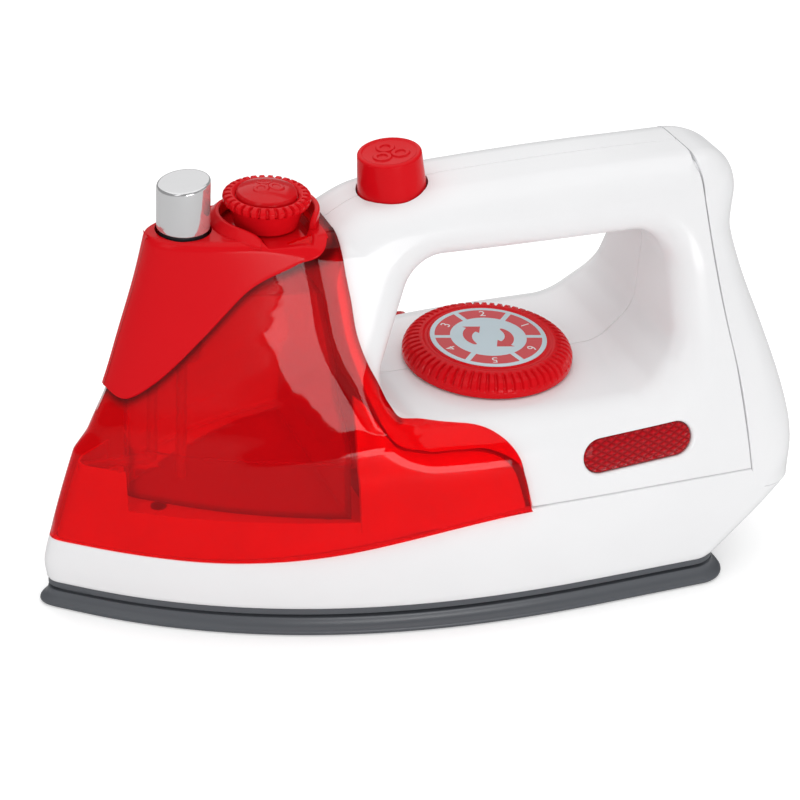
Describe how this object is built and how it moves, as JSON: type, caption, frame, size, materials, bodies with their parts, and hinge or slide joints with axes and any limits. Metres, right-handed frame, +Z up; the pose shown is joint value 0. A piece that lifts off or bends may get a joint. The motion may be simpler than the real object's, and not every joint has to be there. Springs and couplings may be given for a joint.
{
  "type": "toy iron",
  "caption": "Toy steam iron with white casing, clear red water tank, ribbed dial and knob, chrome spray cap, press button and battery door",
  "frame": {"origin": "Middle of the bounding box in plan, on the floor that the sole stands on", "axes": "+X runs from the sole's tip to the rear cover, +Z is up, and +Y is the right-hand side seen from behind, looking towards the tip"},
  "size_m": [0.2226, 0.1028, 0.1325],
  "materials": {
    "shell_white": "gloss moulded plastic",
    "inner_white": "satin moulded plastic",
    "sole": "satin moulded plastic with a fine grain",
    "tank_red": "clear red plastic, polished",
    "reservoir_clear": "clear plastic, faintly frosted",
    "lens_red": "clear red plastic with a crossed texture",
    "cover_red": "gloss moulded plastic",
    "disc_red": "gloss domed plastic",
    "cap_chrome": "vacuum-plated plastic, mirror bright",
    "dark_plastic": "satin moulded plastic",
    "label_blue": "printed label under clear film",
    "board_green": "lacquered board",
    "cell_green": "plain printed sleeve",
    "steel": "zinc-plated steel"
  },
  "bodies": {
    "casing": {"soleplate": "sole", "base_tray": "shell_white", "left_shell": "shell_white", "right_shell": "shell_white", "rear_cover": "shell_white", "tank_shell": "tank_red", "reservoir": "reservoir_clear", "top_cover": "cover_red", "pump_cylinder": "inner_white", "pump_spring": "steel", "suction_tube": "inner_white", "outlet_tube": "inner_white", "spray_nozzle": "dark_plastic", "button_spring": "steel", "button_switch": "dark_plastic", "dial_click_spring": "steel", "left_lens": "lens_red", "right_lens": "lens_red", "lens_leds": "reservoir_clear", "circuit_board": "board_green", "speaker": "steel", "battery_case": "inner_white", "battery_cells": "cell_green", "battery_contacts": "steel", "case_screws": "steel", "sole_screws": "steel"},
    "spray_pump": {"spray_cap": "cap_chrome", "pump_piston": "dark_plastic"},
    "steam_knob": {"knob": "cover_red", "knob_disc": "disc_red", "knob_screw": "steel"},
    "button": {"handle_button": "cover_red"},
    "heat_dial": {"dial": "cover_red", "dial_label": "label_blue", "dial_screw": "steel"},
    "door": {"battery_door": "sole", "door_screw": "steel"}
  },
  "joints": [
    {"name": "spray_press", "type": "slide", "parent": "casing", "child": "spray_pump", "axis": [0, 0, -1], "range_m": [0, 0.007], "stiffness_N_per_m": 60, "springref_m": -0.002, "deforming": ["pump_spring"]},
    {"name": "knob_turn", "type": "hinge", "parent": "casing", "child": "steam_knob", "pos_m": [-0.0453, 0, 0.118], "axis": [0, 0, 1], "continuous": true},
    {"name": "button_press", "type": "slide", "parent": "casing", "child": "button", "axis": [0.1288, 0, -0.9917], "range_m": [0, 0.003], "stiffness_N_per_m": 150, "springref_m": -0.001, "deforming": ["button_spring"]},
    {"name": "dial_turn", "type": "hinge", "parent": "casing", "child": "heat_dial", "pos_m": [0.0256, 0, 0.06], "axis": [0, 0, 1], "continuous": true},
    {"name": "door_swing", "type": "hinge", "parent": "casing", "child": "door", "pos_m": [0.0603, 0, 0.0004], "axis": [0, -1, 0], "range_deg": [0, 60]}
  ]
}
